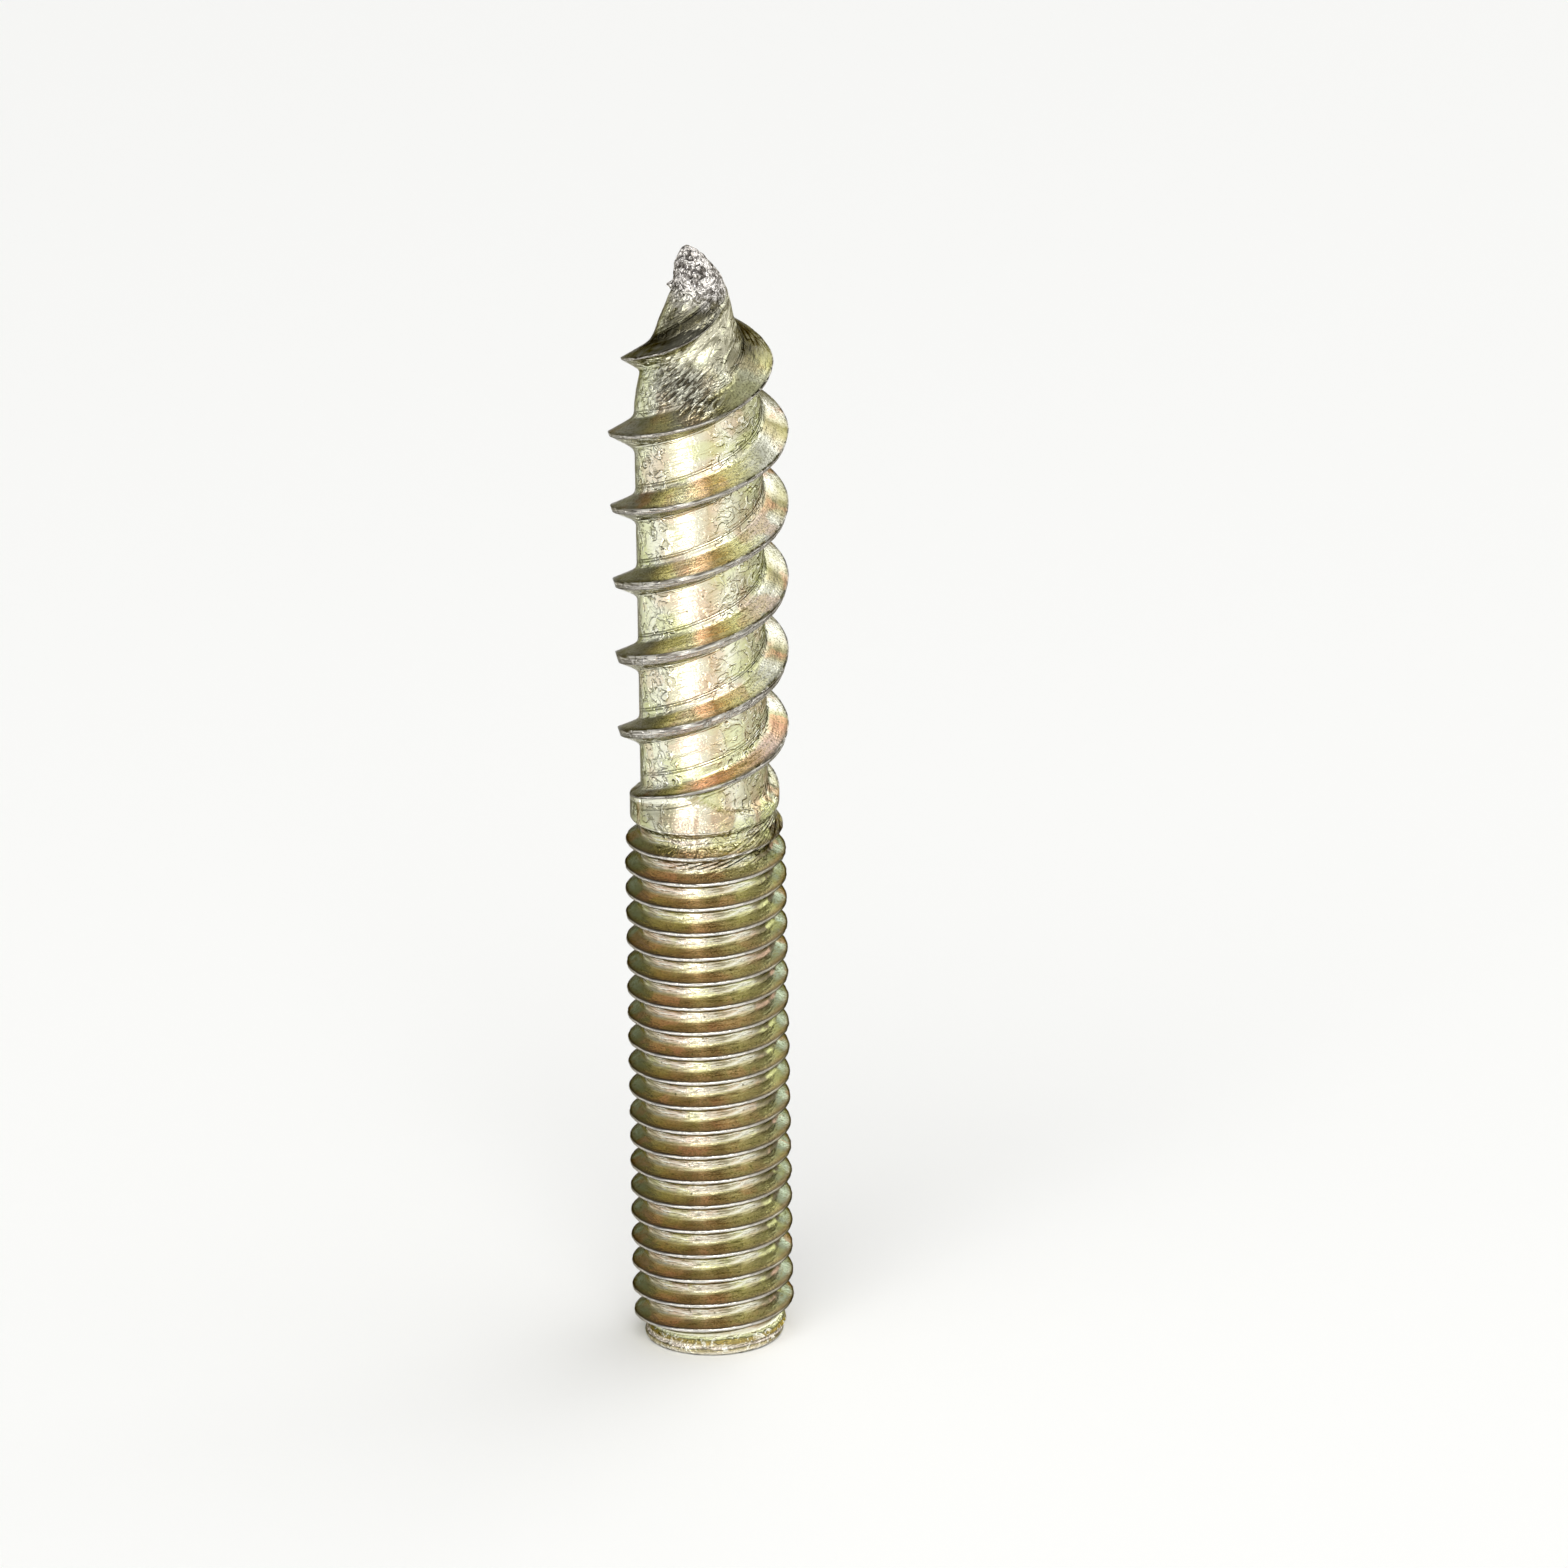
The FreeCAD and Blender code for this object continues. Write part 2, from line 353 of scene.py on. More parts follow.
@dataclass
class WoodThread:
    """Two ridges side by side on a thinner core, running up into the point."""

    lead: float = 4.783
    starts: int = 2
    last_full: float = 28.976
    run_in_from: float = -2.0
    run_in_lead: float = 4.02
    run_in_to: float = -2.5
    before_run_in: float = 0.8
    last_sweep: float = 1.02
    bottom: float = 17.2
    tip: float = 34.95
    bend_at_bottom: float = 0.05
    bend_at_tip: float = 0.07
    blank: float = 2.24
    # Half turns that the mesh and the two ridges go through, 0 at the last full turn.
    row_ridges: range = range(-8, 6)
    ridges: range = range(-6, 4)
    # Rows of the mesh between two ridges, as a share of the gap.
    gap_rows: tuple[float, ...] = (
        0.012, 0.035, 0.065, 0.095, 0.125, 0.145, 0.165, 0.185, 0.205, 0.23, 0.26, 0.3, 0.345, 0.4,
        0.46, 0.52, 0.58, 0.64, 0.7, 0.75, 0.785, 0.81, 0.84, 0.875, 0.915, 0.955, 0.985)
    # Sections of a ridge: distance from its crest's edge, and share of its height.
    upper: Table = (
        (0.0, 1.0), (0.275, 0.2), (0.315, 0.11), (0.36, 0.05), (0.42, 0.015), (0.5, 0.0))
    lower: Table = (
        (0.0, 1.0), (0.24, 0.22), (0.29, 0.11), (0.34, 0.04), (0.4, 0.0))
    # Along the screw: how broad the ridges are, their radius, the width of their worn crests, the core.
    breadth: Table = (
        (19.0, 1.0), (25.6, 1.02), (27.2, 1.12), (28.98, 1.36), (31.4, 1.36), (33.0, 1.2))
    crest: Table = (
        (17.4, 2.243), (17.9, 2.33), (18.4, 2.43), (19.41, 2.56), (24.0, 2.63), (28.976, 2.7),
        (30.2, 2.56), (31.37, 2.27), (32.0, 1.86), (32.57, 1.43), (32.95, 1.13), (33.2, 0.95),
        (33.5, 0.8), (34.2, 0.5))
    land: Table = (
        (17.4, 0.05), (18.4, 0.1), (19.41, 0.26), (21.8, 0.33), (24.2, 0.27), (26.6, 0.2), (29.0, 0.13),
        (31.4, 0.07), (33.8, 0.04))
    core: Table = (
        (17.2, 1.91), (29.3, 1.91), (29.9, 1.9), (30.4, 1.83), (30.9, 1.72), (31.5, 1.5), (32.1, 1.29),
        (32.76, 1.08), (33.3, 0.92), (33.8, 0.73), (34.15, 0.64), (34.42, 0.53), (34.62, 0.41),
        (34.76, 0.29), (34.87, 0.18), (34.93, 0.09), (35.0, 0.03))
    core_radius: float = 1.91
    # Where the grooves end on the blank: degrees round the screw and height.
    groove_end: Table = (
        (0, 17.42), (20, 17.3), (40, 17.3), (63, 17.37), (80, 17.56), (98, 17.86), (112, 18.16))
    ridge_side: float = 104
    shoulder: float = 0.26
    shank_below: float = 20.0
    section_height: float = 0.75
    least_scale: float = 0.05
    land_slope: float = 0.3
    worn_above: float = 0.1
    full_depth: Span = (0.03, 0.3)
    nothing_near: float = 9.0
    soft_land: float = 0.022
    land_rough: float = 0.014
    edge_below: float = 0.5
    reach_below: Table = ((17.2, 0.12), (18.2, 0.3), (19.2, 0.7))
    phase_off_ridges: float = 1.2

    @property
    def body(self) -> Table:
        """Radius from which the ridges rise."""
        return self.core

    def crest_height(self, sweep: np.ndarray) -> np.ndarray:
        """Height of a ridge's crest.

        Args:
            sweep: Turns along the ridge, 0 at its last full turn.

        Returns:
            Heights in millimetres.
        """
        z = self.last_full + self.lead * sweep
        start = self.last_full + self.lead * self.run_in_from
        z = np.where(sweep < self.run_in_from, start + self.run_in_lead * (sweep - self.run_in_from), z)
        end = start + self.run_in_lead * (self.run_in_to - self.run_in_from)
        return np.where(sweep < self.run_in_to, end + self.before_run_in * (sweep - self.run_in_to), z)

    def heights(self, turns: np.ndarray) -> np.ndarray:
        """Place the rows of the sheet along the ridges.

        Args:
            turns: Angle of each column in turns, from 0 to 1.

        Returns:
            Heights in millimetres, one row of the array per row of the sheet.
        """
        lines = []
        for ridge in self.row_ridges:
            here = self.crest_height(turns + ridge / self.starts)
            after = self.crest_height(turns + (ridge + 1) / self.starts)
            half, half_after = self.half_land(here), self.half_land(after)
            low, high = here + half, after - half_after
            lines += [here - half, here, low]
            lines += [low + (high - low) * f for f in self.gap_rows]
        low = soft_floor(np.array(lines), self.bottom, self.bend_at_bottom)
        return self.tip - soft_floor(self.tip - low, 0.0, self.bend_at_tip)

    def half_land(self, crest: np.ndarray) -> np.ndarray:
        """Half the width of the worn crest at a crest height."""
        return read(self.land, crest) / 2

    def core_at(self, turns: np.ndarray, z: np.ndarray) -> np.ndarray:
        """Radius of the core, with the blank below the ends of its grooves.

        Args:
            turns: Angle in turns.
            z: Height in millimetres.

        Returns:
            Radius in millimetres.
        """
        back = (-turns * 360) % 180
        ridge = self.crest_height(self.run_in_from - back / 360)
        edge = np.where(back > self.ridge_side, ridge, read(self.groove_end, back))
        on_blank = (1 - smooth(z - edge, 0.0, self.shoulder)) * (z < self.shank_below)
        return read(self.core, z) + (self.blank - self.core_radius) * on_blank

    def surface(self, turns: np.ndarray, z: np.ndarray) -> Surface:
        """Find the surface of the thread.

        Args:
            turns: Angle in turns.
            z: Height in millimetres.

        Returns:
            Radius, distance above the nearest crest, how far that crest stands out and half its width.
        """
        base = read(self.core, z)
        r, near, stand = self.core_at(turns, z), np.full_like(z, self.nothing_near), np.zeros_like(z)
        for ridge in self.ridges:
            sweep = turns + ridge / self.starts
            crest = self.crest_height(sweep)
            half = self.half_land(crest)
            d = z - crest
            tall = np.maximum(read(self.crest, crest) - base, 0)
            scale = np.maximum(tall / self.section_height, self.least_scale) * read(self.breadth, crest)
            up, down = read(self.upper, (d - half) / scale), read(self.lower, (-d - half) / scale)
            worn = self.land_slope * np.clip(half - d, 0, 2 * half) * (tall > self.worn_above)
            live = (sweep > self.run_in_to) & (sweep < self.last_sweep)
            height = np.where(live, base + (tall - worn) * np.where(d > 0, up, down), 0)
            r = np.maximum(r, height)
            closer = live & (np.abs(d) < np.abs(near))
            near = np.where(closer, d, near)
            stand = np.where(closer, smooth(tall, *self.full_depth), stand)
        return Surface(r, near, stand, self.half_land(z))

    def flank_shown(self, z: np.ndarray) -> np.ndarray:
        """How strongly the flank's own colour shows: fully along the whole thread."""
        return np.ones_like(z)

    def phase_above(self, near: np.ndarray) -> np.ndarray:
        """Distance above the last crest."""
        return np.where(near == self.nothing_near, self.phase_off_ridges, near % (self.lead / 2))


@dataclass
class DowelScrew:
    """The whole screw, one cold-formed piece."""

    columns: int = 120
    length: float = 35.0
    machine: MachineThread = field(default_factory=MachineThread)
    wood: WoodThread = field(default_factory=WoodThread)
    knobs: tuple[Knob, ...] = (
        Knob(180, 33.74, 0.2, 0.11, 0.1),
        Knob(-80, 34.33, 0.2, 0.09, 0.085),
        Knob(-52, 34.5, 0.06, 0.08, 0.12),
        Knob(-120, 34.2, 0.05, 0.12, 0.12),
        Knob(-68, 34.68, -0.09, 0.035, 0.2),
        Knob(-150, 34.78, -0.1, 0.08, 0.07),
        Knob(-42, 33.28, -0.12, 0.08, 0.2),
        Knob(-56, 33.42, 0.07, 0.07, 0.24),
        Knob(-60, 31.2, 0.24, 0.19, 0.12),
        Knob(-68, 31.1, 0.14, 0.09, 0.08),
        Knob(-98, 33.1, -0.04, 0.12, 0.08),
        Knob(-10, 0.24, 0.07, 0.7, 0.13),
    )
    # Height and shift to the side of the bent point.
    lean: Table = (
        (32.6, 0.0), (33.0, 0.05), (33.5, 0.1), (33.9, 0.06), (34.2, -0.03), (34.4, -0.09),
        (34.6, -0.13), (34.8, -0.19), (35.0, -0.26))
    fold_lead: float = 4.3
    scar: Patch = Patch(-105, 35, 31.06, 0.68, 5)
    scar_wander: Span = (9.0, 0.1)
    smear: Patch = Patch(-70, 60, 16.5, 0.85, 6)
    smeared_lip: Span = (0.62, 0.1)
    # Size and seed of the three noises, and where the zones fade in along the height.
    fine: Span = (0.22, 3.1)
    coarse: Span = (0.7, 8.4)
    small: Span = (0.12, 5.5)
    raised: Span = (0.03, 0.11)
    land_inset: float = 0.005
    crests_end: Span = (33.0, 33.4)
    edges_end: Span = (32.6, 33.1)
    point_from: Span = (33.0, 33.9)
    flank_reach: float = 0.9
    edge_out: float = 0.012
    edge_half: float = 0.018
    # Strength of the painted shade along the crests' edges.
    edge_painted_shade: float = 0.9
    # Unevenness of the surface, and where it calms down towards both ends.
    skin_rough: float = 0.003
    point_rough: Point = (0.05, 0.04, 0.03)
    scar_rough: Span = (0.035, 0.03)
    smear_rough: float = 0.012
    calm_end: Span = (0.05, 0.4)
    calm_tip: Span = (0.01, 0.12)
    weld: float = 0.0006
    sliver: float = 0.0001
    shade_angle: float = 38.0

    def build(self) -> bpy.types.Object:
        """Roll both threads, join them at the plain shank and close the ends.

        Returns:
            The finished mesh object at the origin.
        """
        lower = self.roll("machine_end", self.machine)
        upper = self.roll("wood_end", self.wood)
        bpy.ops.object.select_all(action="DESELECT")
        lower.select_set(True)
        upper.select_set(True)
        bpy.context.view_layer.objects.active = lower
        bpy.ops.object.join()
        screw = bpy.context.view_layer.objects.active
        screw.name = screw.data.name = "yellow_zinc_screw"
        self.close_up()
        return screw

    def roll(self, name: str, thread: MachineThread | WoodThread) -> bpy.types.Object:
        """Roll a flat grid round the axis so that its rows follow the thread.

        Args:
            name: Name of the sheet.
            thread: The thread that gives the rows and the radius.

        Returns:
            The rolled sheet, still open at its seam.
        """
        turns = np.linspace(0, 1, self.columns + 1)
        heights = thread.heights(turns)
        rows = heights.shape[0]
        bpy.ops.object.select_all(action="DESELECT")
        bpy.ops.mesh.primitive_grid_add(x_subdivisions=self.columns, y_subdivisions=rows - 1, size=2)
        sheet = bpy.context.object
        sheet.name = name
        flat = np.empty(len(sheet.data.vertices) * 3)
        sheet.data.vertices.foreach_get("co", flat)
        flat = flat.reshape(-1, 3)
        column = np.rint((flat[:, 0] + 1) / 2 * self.columns).astype(int)
        row = np.rint((flat[:, 1] + 1) / 2 * (rows - 1)).astype(int)
        self.place(sheet, turns[column % self.columns], heights[row, column], thread)
        return sheet

    def place(self, sheet: bpy.types.Object, angle: np.ndarray, z: np.ndarray,
              thread: MachineThread | WoodThread) -> None:
        """Move the grid's vertices to the surface and write the finish's attributes.

        Args:
            sheet: The flat grid.
            angle: Angle of each vertex in turns.
            z: Height of each vertex in millimetres.
            thread: The thread that the sheet carries.
        """
        x, y = np.cos(angle * 2 * math.pi), np.sin(angle * 2 * math.pi)
        skin = thread.surface(angle, z)
        places = np.column_stack([x * skin.radius, y * skin.radius, z])
        grains = [lumps(places, *grain) for grain in (self.fine, self.coarse, self.small)]
        zones = self.find_zones(angle, z, skin, thread, grains[1])
        r = skin.radius + self.roughness(z, zones, grains, thread.land_rough)
        for knob in self.knobs:
            r = r + knob.lift(angle * 360, z, r)
        co = np.column_stack([x * r + read(self.lean, z), y * r, z]) * MM
        sheet.data.vertices.foreach_set("co", co.ravel())
        for zone, numbers in zones.items():
            layer = sheet.data.attributes.new(zone.value, "FLOAT", "POINT")
            layer.data.foreach_set("value", np.asarray(numbers, dtype=np.float32))

    def find_zones(self, angle: np.ndarray, z: np.ndarray, skin: Surface,
                   thread: MachineThread | WoodThread, coarse: np.ndarray) -> dict[Zone, np.ndarray]:
        """Work out how far each vertex belongs to each zone.

        Args:
            angle: Angle of each vertex in turns.
            z: Height of each vertex in millimetres.
            skin: The thread's surface at the vertices.
            thread: The thread that the sheet carries.
            coarse: Noise that gives the scar an uneven edge.

        Returns:
            One value per vertex for each zone.
        """
        near, half, degrees = skin.near, skin.half_land, angle * 360
        raised = smooth(skin.radius - read(thread.body, z), *self.raised)
        land = smooth(np.abs(near), half - self.land_inset, half + thread.soft_land)
        crest = (1 - land) * skin.stand * (1 - smooth(z, *self.crests_end))
        side = (1 - crest) * raised * skin.stand
        flank = side * (near > 0) * (near < self.flank_reach) * thread.flank_shown(z)
        under = side * (near < 0) * (near > -read(thread.reach_below, z))
        # A line just past each crest's edge, for a painted shade.
        edge = np.exp(-((np.abs(near) - half - self.edge_out) / self.edge_half) ** 2) * skin.stand
        edge = edge * (1 - smooth(z, *self.edges_end)) * np.where(near > 0, 1.0, thread.edge_below)
        round_wander, up_wander = self.scar_wander
        lip_height, lip_fade = self.smeared_lip
        return {
            Zone.CREST: crest, Zone.FLANK: flank, Zone.UNDER: under,
            Zone.POINT: smooth(z, *self.point_from),
            Zone.MACHINE: np.full_like(z, float(isinstance(thread, MachineThread))),
            Zone.EDGE: edge * self.edge_painted_shade,
            Zone.ABOVE: thread.phase_above(near),
            Zone.SCAR: self.scar.mask(degrees + round_wander * coarse, z + up_wander * coarse),
            Zone.SMEAR: np.maximum(self.smear.mask(degrees, z), smooth(lip_height - z, 0.0, lip_fade)),
            Zone.FOLD: z - self.fold_lead * (angle % 0.5 - 0.5)}

    def roughness(self, z: np.ndarray, zones: dict[Zone, np.ndarray], grains: Sequence[np.ndarray],
                  land_rough: float) -> np.ndarray:
        """Work out the unevenness of the surface, which dies out at both ends.

        Args:
            z: Height of each vertex in millimetres.
            zones: The zones at the vertices.
            grains: Fine, coarse and small noise at the vertices.
            land_rough: Unevenness of the worn crests in millimetres.

        Returns:
            One distance in millimetres per vertex.
        """
        fine, coarse, small = grains
        on_point = sum(depth * grain for depth, grain in zip(self.point_rough, (coarse, fine, small)))
        on_scar = sum(depth * grain for depth, grain in zip(self.scar_rough, (fine, small)))
        rough = land_rough * zones[Zone.CREST] * fine + self.skin_rough * coarse
        rough = rough + zones[Zone.POINT] * on_point + zones[Zone.SCAR] * on_scar
        rough = rough + self.smear_rough * zones[Zone.SMEAR] * fine
        return rough * smooth(z, *self.calm_end) * smooth(self.length - z, *self.calm_tip)

    def close_up(self) -> None:
        """Weld the seams, close both ends and give the mesh its shading."""
        bpy.ops.object.mode_set(mode="EDIT")
        bpy.ops.mesh.select_all(action="SELECT")
        bpy.ops.mesh.remove_doubles(threshold=self.weld * MM)
        bpy.ops.mesh.dissolve_degenerate(threshold=self.sliver * MM)
        bpy.ops.mesh.select_all(action="DESELECT")
        bpy.ops.mesh.select_mode(type="EDGE")
        bpy.ops.mesh.select_non_manifold(extend=False)
        bpy.ops.mesh.fill_holes(sides=0)
        bpy.ops.mesh.select_all(action="SELECT")
        bpy.ops.mesh.normals_make_consistent(inside=False)
        bpy.ops.mesh.select_mode(type="VERT")
        bpy.ops.object.mode_set(mode="OBJECT")
        bpy.ops.object.shade_smooth_by_angle(angle=math.radians(self.shade_angle))


@dataclass(frozen=True)
class Fade:
    """Where a mask starts and is full along its source, and how strong it is at both."""

    start: float
    full: float
    low: float = 0.0
    high: float = 1.0


@dataclass(frozen=True)
class YellowZinc:
    """Steel wire, cold-rolled into its threads, then zinc plated and yellow passivated.

    Rolled steel under bright zinc gives sharp, mirror-like highlights drawn along the thread, and white
    glints are painted on it as well. The chromate film on it is thin and clear, and its thickness gives
    olive, gold, pink and pale green in turns round the screw; these palettes also carry painted
    highlights and painted shade, such as the bright front and the dark right-hand rim. Dark lines in
    creases, in hollows and along the crests' edges are painted shade, and the film is worn through to
    grey metal on the crests.
    """

    # Palettes in turns round the screw, from its left over its front to its right: film tints together
    # with painted highlights and painted shade, such as the bright front and the dark right-hand rim.
    roots: Stops = (
        (0.0, "#A09F8B"), (0.07, "#F7FBEA"), (0.15, "#FCFFD8"), (0.27, "#FFFFEA"), (0.34, "#EAE4C5"),
        (0.42, "#ECE6CB"), (0.5, "#EBE6CE"), (0.56, "#E0CFAB"), (0.64, "#FFFFE6"), (0.73, "#C8C1A0"),
        (0.82, "#C6C6A1"), (0.92, "#DADAB8"), (1.0, "#A09F8B"))
    wood_flank_tints_and_painted_light: Stops = (
        (0.0, "#B4B094"), (0.1, "#EAEADD"), (0.22, "#B6B19F"), (0.3, "#C1B57F"), (0.37, "#FFF3AE"),
        (0.43, "#FFFADE"), (0.49, "#FFD8BC"), (0.55, "#B69C73"), (0.6, "#E1D49C"), (0.68, "#FFFDCB"),
        (0.78, "#FFFFF1"), (0.86, "#FFFFEC"), (0.92, "#B8B08C"), (0.97, "#857F60"), (1.0, "#B4B094"))
    machine_flank_tints_and_painted_light: Stops = (
        (0.0, "#C0CCB5"), (0.12, "#9A9D71"), (0.26, "#A49056"), (0.4, "#8E744C"), (0.46, "#AC9068"),
        (0.54, "#9C8458"), (0.62, "#C6BC84"), (0.78, "#9A976A"), (0.86, "#66684E"), (0.92, "#7D8574"),
        (1.0, "#CAD8BF"))
    machine_root_tints_and_painted_light: Stops = (
        (0.0, "#918B83"), (0.1, "#A39C8A"), (0.2, "#CCC1A6"), (0.3, "#DCCAB6"), (0.42, "#ECE1D0"),
        (0.5, "#D2C6AE"), (0.6, "#E1DABD"), (0.68, "#DDD7B9"), (0.76, "#92896D"), (0.86, "#5C5543"),
        (0.94, "#5E5950"), (1.0, "#918B83"))
    machine_crest_tones_and_painted_light: Stops = (
        (0.0, "#A09C92"), (0.15, "#D8D2C8"), (0.3, "#FFFBF4"), (0.55, "#FFFDF6"), (0.68, "#F4EEE2"),
        (0.76, "#C0BAAA"), (0.86, "#77735F"), (0.95, "#504E44"), (1.0, "#A09C92"))
    curled_part: Stops = (
        (0.0, "#555555"), (0.1, "#FFFFFF"), (0.32, "#FFFFFF"), (0.36, "#333333"), (0.52, "#444444"),
        (0.6, "#DDDDDD"), (0.9, "#FFFFFF"), (1.0, "#555555"))
    turn_start: float = 0.92
    wander: float = 0.16
    # From a ridge of the cone up to the next, with a painted shadow just above each ridge, and up the
    # rolled bands of the flat end, with painted highlights on its rims and painted shade between them.
    cone: Stops = (
        (0.0, "#A5A290"), (0.05, "#8E8B7A"), (0.13, "#5E5A48"), (0.25, "#4B4839"), (0.33, "#79755F"),
        (0.43, "#ABA792"), (0.6, "#C2BEA6"), (0.8, "#D6D2BA"), (1.0, "#CBC7AE"))
    end_band_tones_and_painted_light: Stops = (
        (0.0, "#8A857C"), (0.05, "#E0DCD0"), (0.1, "#FFF8E8"), (0.175, "#CDBF92"), (0.24, "#786E50"),
        (0.3, "#FFF2E6"), (0.375, "#FFF4DC"), (0.44, "#A08A4A"), (0.55, "#AA9A56"), (0.6, "#66643A"),
        (0.66, "#ECF0BC"), (0.775, "#FFFFE4"), (0.875, "#D6CFAE"), (0.95, "#8E8468"))

    # Single colours of the film, thin to thick, of the metal, and of the painted glints, painted
    # highlights and painted shade.
    pink: str = "#F0C8AE"
    green: str = "#E0E5A2"
    # White of the painted glints.
    painted_glint_colour: str = "#FFFFF2"
    fillet: str = "#D8D29A"
    flush: str = "#D89A7A"
    copper: str = "#EAA088"
    olive: str = "#9A9A62"
    rust: str = "#7E5A40"
    tan: str = "#BFA284"
    # Dark of the film's lines and scratches, also used for painted shade on the shank's left.
    film_line_and_painted_shade: str = "#6C6640"
    # Painted highlight on the ridges' lower flanks.
    under: str = "#FFFFEC"
    machine_underside_highlight: str = "#DCD7C4"
    bare: str = "#FFFAF5"
    bare_dark: str = "#6E6862"
    crest_light: str = "#F4F0E8"
    swirl_pale: str = "#FFFFDC"
    swirl_dark: str = "#5A5638"
    burnt: str = "#4E493B"
    burnt_light: str = "#C8C7B6"
    # Painted shade in creases, hollows and along the crests' edges.
    painted_shade: str = "#3E382C"
    grazing: str = "#837E68"

    # Masks along the clouds, the drawn scratches and the grit.
    blushing: Fade = Fade(0.55, 0.62, 0.0, 0.32)
    mossy: Fade = Fade(0.46, 0.38, 0.0, 0.5)
    flushed: Fade = Fade(0.54, 0.62, 0.0, 0.4)
    tarnished: Fade = Fade(0.47, 0.38, 0.0, 0.35)
    # Painted glints along the rolled streaks in the machine grooves.
    rolled: Fade = Fade(0.54, 0.6, 0.0, 0.75)
    creased: Fade = Fade(0.46, 0.4, 0.0, 0.8)
    scratched: Fade = Fade(0.34, 0.28, 0.0, 0.5)
    worn: Fade = Fade(0.4, 0.58)
    speckled: Fade = Fade(0.5, 0.34, 0.0, 0.6)
    glossy: Fade = Fade(0.3, 0.7, 0.09, 0.21)
    # Masks along the torn strands, the sweeps and the crumpled metal.
    singed: Fade = Fade(0.44, 0.6)
    scraped: Fade = Fade(0.44, 0.36, 0.0, 0.6)
    swept: Fade = Fade(0.53, 0.6, 0.0, 0.75)
    shaded: Fade = Fade(0.45, 0.38, 0.0, 0.6)
    # Painted highlights on the point's lumps, painted shade in its pits.
    point_painted_highlights: Fade = Fade(0.38, 0.56)
    # Painted glints on the flat end's lumps.
    fleck_painted_glints: Fade = Fade(0.55, 0.61, 0.0, 0.7)
    # Masks in turns round the screw.
    right_side: Fade = Fade(0.68, 0.8)
    right_half: Fade = Fade(0.34, 0.42)
    # Painted shade on the left of the plain shank.
    left_painted_shade: Fade = Fade(0.37, 0.4, 0.6, 0.0)
    # Masks along the height in millimetres.
    flat_end: Fade = Fade(0.74, 0.62, 0.0, 0.9)
    bands: Fade = Fade(0.07, 0.87)
    first_turns: Fade = Fade(21.5, 19.0, 0.0, 0.5)
    last_turn: Fade = Fade(29.6, 30.4, 0.0, 0.65)
    on_cone: Fade = Fade(31.3, 31.7)
    aloft: Fade = Fade(32.6, 33.0, 0.2, 1.0)
    # Masks in millimetres above a crest of the machine thread, or of the wood thread's last ridge.
    by_crest: Fade = Fade(3.03, 3.14, 0.7, 0.0)
    by_flank: Fade = Fade(3.26, 3.38, 0.5, 0.0)
    past_ridge: Fade = Fade(0.0, 2.4)
    past_shadow: Fade = Fade(0.3, 0.42)
    # Masks along the run marks of the bath, the curls, and the pinholes in the film, 0.37 mm apart.
    run_marks: Fade = Fade(0.5, 0.6, 0.0, 0.75)
    step: Fade = Fade(0.46, 0.54)
    pinholes: Fade = Fade(0.07, 0.12, 0.75, 0.0)
    pinhole_gap: float = 0.3704

    # Thin lines: the value they follow and half their width.
    curl_lines: Table = ((0.5, 0.022), (0.43, 0.016))
    # White line beside the curls' outlines: a painted highlight.
    curl_painted_glint: Span = (0.54, 0.026)
    hollows: Span = (0.46, 0.022)
    shank: Span = (17.4, 1.0)
    folds: tuple[float, ...] = (16.6, 16.74, 16.87, 17.0, 17.15)
    fold_half: float = 0.05
    crease_shift: float = -0.05
    crease_half: float = 0.022
    rolling_lines: tuple[float, ...] = (0.62, 0.7, 1.98)
    rolling_half: float = 0.03

    # Strengths of coats, from 0 to 1.
    line_strength: float = 0.75
    underside_highlight_strength: float = 0.9
    painted_shade_strength: float = 0.8
    smear_painted_shade: float = 0.6
    machine_shine: float = 0.45
    # Unevenness of the bands at both ends, and the height that parts the two threads, in millimetres.
    band_wander: float = 0.14
    ridge_wander: float = 0.7
    ridge_shift: float = 0.35
    machine_top: float = 16.6

    # Relief in millimetres.
    curl_step: float = 0.055
    cloud_swell: float = 0.018
    fold_height: float = 0.04
    drawn_depth: float = 0.035
    rolling_depth: float = -0.02
    grit_depth: float = 0.011
    sweep_depth: float = 0.09
    strand_depth: float = 0.16
    cone_strands: float = 0.08
    point_depth: float = 0.22
    smear_depth: float = 0.11

    def material(self) -> bpy.types.Material:
        """Make the material for the whole screw.

        Returns:
            The node material.
        """
        made = bpy.data.materials.new("yellow_passivated_zinc")
        made.use_nodes = True
        made.node_tree.nodes.clear()
        PlatedSurface(self, made.node_tree).lay()
        return made


